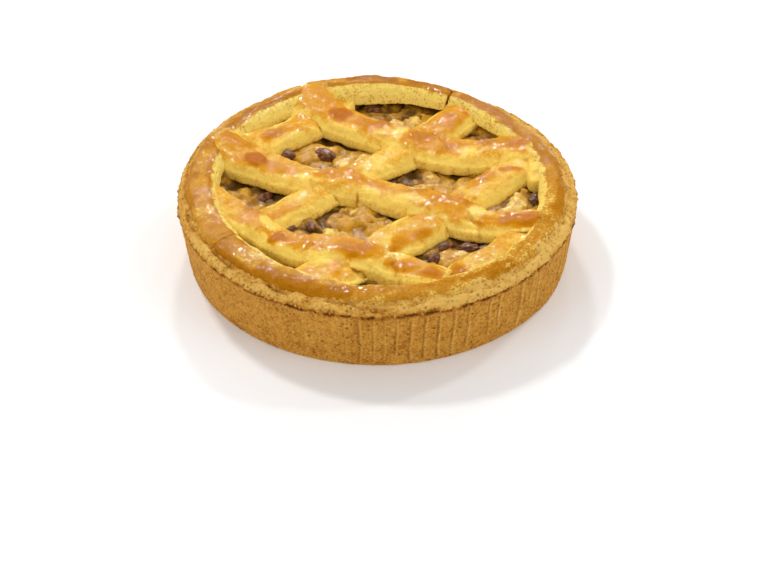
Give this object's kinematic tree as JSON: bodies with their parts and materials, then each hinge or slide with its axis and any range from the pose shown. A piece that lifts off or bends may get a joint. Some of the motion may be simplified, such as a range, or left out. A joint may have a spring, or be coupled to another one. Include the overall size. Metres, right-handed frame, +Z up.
{
  "type": "lattice apple pie",
  "caption": "Deep round shortcrust pie with straight ribbed wall, apple and raisin filling, woven lattice of thick glazed dough strips and a rolled border pressed on the rim",
  "frame": {"origin": "middle of the pie's flat base, on the surface that it stands on", "axes": "+Z is up; -Y is the side where the border is lowest and thinnest; +X is to the right seen from -Y"},
  "size_m": [0.24, 0.24, 0.0532],
  "materials": {
    "crust": "dry baked shortcrust, tan brown, grainy and pitted",
    "filling": "wet cooked apple with raisins, brown and glossy",
    "border": "egg-washed dough, browned on top",
    "lattice": "egg-washed dough, golden on top and pale yellow on the sides"
  },
  "bodies": {
    "root": {"crust_shell": "crust", "apple_filling": "filling", "border_back": "border", "border_left": "border", "border_front": "border", "border_right": "border", "over_back": "lattice", "over_middle": "lattice", "over_front": "lattice", "under_left": "lattice", "under_centre": "lattice", "under_right": "lattice", "under_corner": "lattice"}
  },
  "joints": []
}
